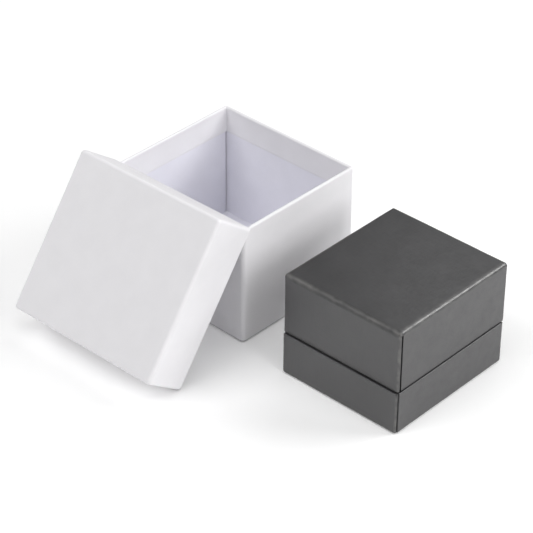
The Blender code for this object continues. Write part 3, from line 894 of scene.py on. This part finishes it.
def pad_cage(node):
    """The CAD pad's points in the ring box's frame, and its box."""
    mesh = frame["nodes"][node].data.copy()
    mesh.materials.clear()
    mesh.transform(Matrix.Scale(1 / MM, 4) @ BOX_PLACE.inverted())
    return (mesh, *corners([v.co for v in mesh.vertices]))


def remeshed(name, mesh, voxel):
    """An object with an even mesh of small faces in the shape of another."""
    obj = bpy.data.objects.new(name, mesh)
    bpy.context.collection.objects.link(obj)
    step = obj.modifiers.new("voxels", "REMESH")
    step.mode = "VOXEL"
    step.voxel_size = voxel
    apply_modifiers(obj)
    return obj


def inflate(obj, glued):
    """Swells a closed mesh with cloth pressure while its glued points stay put."""
    pins = obj.vertex_groups.new(name="glued")
    pins.add([v.index for v in obj.data.vertices if glued(v.co)], 1.0, "REPLACE")
    cloth = obj.modifiers.new("cloth", "CLOTH")
    settings = cloth.settings
    settings.vertex_group_mass = "glued"
    settings.use_pressure = True
    settings.uniform_pressure_force = CLOTH_PRESSURE
    settings.quality = SIM_QUALITY
    settings.mass = CLOTH_MASS
    settings.tension_stiffness = CLOTH_STIFFNESS
    settings.compression_stiffness = CLOTH_STIFFNESS
    settings.bending_stiffness = CLOTH_BENDING
    settings.effector_weights.gravity = 0.0
    cloth.point_cache.frame_start = 1
    cloth.point_cache.frame_end = SIM_FRAMES
    scene = bpy.context.scene
    for number in range(1, SIM_FRAMES + 1):
        scene.frame_set(number)
    apply_modifiers(obj)
    scene.frame_set(1)


def pad_piece(node, name, body, mat, glued_side, crease):
    """A stuffed pad: the CAD pad shrunk, remeshed, swollen by cloth pressure and held back."""
    mesh, low, high = pad_cage(node)
    centre = (low + high) / 2
    half = (high - low) / 2
    for vertex in mesh.vertices:
        offset = vertex.co - centre
        vertex.co = centre + Vector(offset[i] * (1 - PAD_SHRINK / half[i]) for i in range(3))
    unit = SIM_SCALE * MM
    mesh.transform(Matrix.Scale(unit, 4))
    obj = remeshed(name, mesh, PAD_VOXEL * SIM_SCALE * MM)
    start = [v.co.copy() for v in obj.data.vertices]
    if glued_side < 0:
        glue_z = low.z + PAD_SHRINK + GLUE_INSET
    else:
        glue_z = high.z - PAD_SHRINK - GLUE_INSET
    inflate(obj, lambda co: abs(co.z / unit - glue_z) < GLUE_BAND)
    limit = PAD_SWELL * unit
    for vertex, rest in zip(obj.data.vertices, start):
        motion = vertex.co - rest
        if motion.length > limit:
            motion *= limit / motion.length
        point = (rest + motion) / unit
        point += crease(point, low, high)
        vertex.co = Vector(min(max(point[i], low[i]), high[i]) for i in range(3)) * MM
    step = obj.modifiers.new("finer", "SUBSURF")
    step.levels = step.render_levels = 1
    apply_modifiers(obj)
    obj.data.shade_smooth()
    obj.matrix_world = BOX_PLACE
    dress(obj, body, node, mat)


def velvet_crease(point, low, high):
    """A soft unevenness of the velvet rolls."""
    return waver(point, VELVET_WAVER)


def satin_crease(point, low, high):
    """Gathers that run in from the pad's edge and die out towards its middle."""
    edge = min(point.x - low.x, high.x - point.x, point.y - low.y, high.y - point.y)
    strength = PLEAT_DEPTH * (1 - smooth(edge, *PLEAT_FADE)) * smooth(edge, *PLEAT_START)
    near_x = min(point.x - low.x, high.x - point.x) < min(point.y - low.y, high.y - point.y)
    across = point.y if near_x else point.x
    wander = noise.noise(Vector((across / PLEAT_WANDER_SIZE, PLEAT_SEED, 0.0)))
    pleat = sin(across * PLEAT_TURN + PLEAT_WANDER * wander)
    return Vector((0.0, 0.0, strength * pleat)) + waver(point, SATIN_WAVER)


# --- camera, floor and light --------------------------------------------------------------------
def make_camera():
    """A long lens above the front right corner of the set."""
    azimuth, elevation = radians(CAMERA_AZIMUTH), radians(CAMERA_ELEVATION)
    away = Vector((sin(azimuth) * cos(elevation), -cos(azimuth) * cos(elevation),
                   sin(elevation)))
    camera = bpy.data.cameras.new("camera")
    camera.lens = LENS
    camera.sensor_width = SENSOR
    holder = bpy.data.objects.new("camera", camera)
    turn = away.to_track_quat("Z", "Y").to_matrix().to_4x4()
    roll = Matrix.Rotation(radians(CAMERA_ROLL), 4, "Z")
    spot = Vector(CAMERA_TARGET) + away * CAMERA_DISTANCE
    holder.matrix_world = Matrix.Translation(spot) @ turn @ roll
    bpy.context.collection.objects.link(holder)
    bpy.context.scene.camera = holder


def make_floor():
    """A white table, which glows a little as an overexposed studio sweep does."""
    bm = bmesh.new()
    bmesh.ops.create_grid(bm, x_segments=FLOOR_CELLS, y_segments=FLOOR_CELLS, size=FLOOR_REACH)
    mesh = bpy.data.meshes.new("floor")
    bm.to_mesh(mesh)
    bm.free()
    mat, tree, shader = blank("floor", 0.7, specular=0.2)
    shader.inputs["Base Color"].default_value = (0.97, 0.97, 0.97, 1.0)
    shader.inputs["Emission Color"].default_value = (1.0, 1.0, 1.0, 1.0)
    shader.inputs["Emission Strength"].default_value = FLOOR_GLOW
    mesh.materials.append(mat)
    floor = bpy.data.objects.new("floor", mesh)
    bpy.context.collection.objects.link(floor)


def softbox(name, azimuth, elevation, distance, size, power):
    """A square area light that faces the set. Azimuth runs from +X towards +Y."""
    light = bpy.data.lights.new(name, "AREA")
    light.shape = "SQUARE"
    light.size = size
    light.energy = power
    turn, rise = radians(azimuth), radians(elevation)
    away = Vector((cos(turn) * cos(rise), sin(turn) * cos(rise), sin(rise)))
    holder = bpy.data.objects.new(name, light)
    holder.location = Vector(CAMERA_TARGET) + away * distance
    holder.rotation_euler = away.to_track_quat("Z", "Y").to_euler()
    bpy.context.collection.objects.link(holder)


def make_lights():
    """Softboxes round the set and a faint white world."""
    for softbox_values in SOFTBOXES:
        softbox(*softbox_values)
    world = bpy.data.worlds.new("studio")
    world.use_nodes = True
    world.node_tree.nodes["Background"].inputs["Color"].default_value = (1.0, 1.0, 1.0, 1.0)
    world.node_tree.nodes["Background"].inputs["Strength"].default_value = WORLD_GLOW
    bpy.context.scene.world = world
    bpy.context.scene.view_settings.view_transform = "Standard"


# --- the set ------------------------------------------------------------------------------------
def colour_cad_nodes(materials):
    """Gives every CAD node the procedural material of its record slot."""
    slots = {part["node"]: part["material_slot"] for part in frame["record"]["subparts"]}
    for name, obj in frame["nodes"].items():
        obj.data.materials.clear()
        obj.data.materials.append(materials[slots[name]])


def main():
    noise.seed_set(NOISE_SEED)
    materials = make_materials()
    colour_cad_nodes(materials)
    make_camera()
    make_floor()
    make_lights()
    paper = materials["wrap_paper"]
    carton_paper("carton_tray", TRAY_PLACE, "carton_tray", TRAY_FOLD, paper)
    carton_paper("carton_lid", LID_PLACE, "carton_lid", LID_FOLD, paper)
    lid_cover_piece(materials["leatherette"])
    base_cover_piece(materials["leatherette"])
    lining_piece("ring_box_base_lining", "ring_box_base_velvet", "ring_box_base",
                 materials["velvet"], False)
    lining_piece("ring_box_lid_lining", "ring_box_lid_satin", "ring_box_lid",
                 materials["satin"], True)
    for end in ("front", "rear"):
        pad_piece("ring_pad_" + end, f"ring_pad_{end}_roll", "ring_box_base",
                  materials["velvet"], -1, velvet_crease)
    pad_piece("ring_box_lid_pad", "ring_box_lid_cushion", "ring_box_lid",
              materials["satin"], 1, satin_crease)


main()
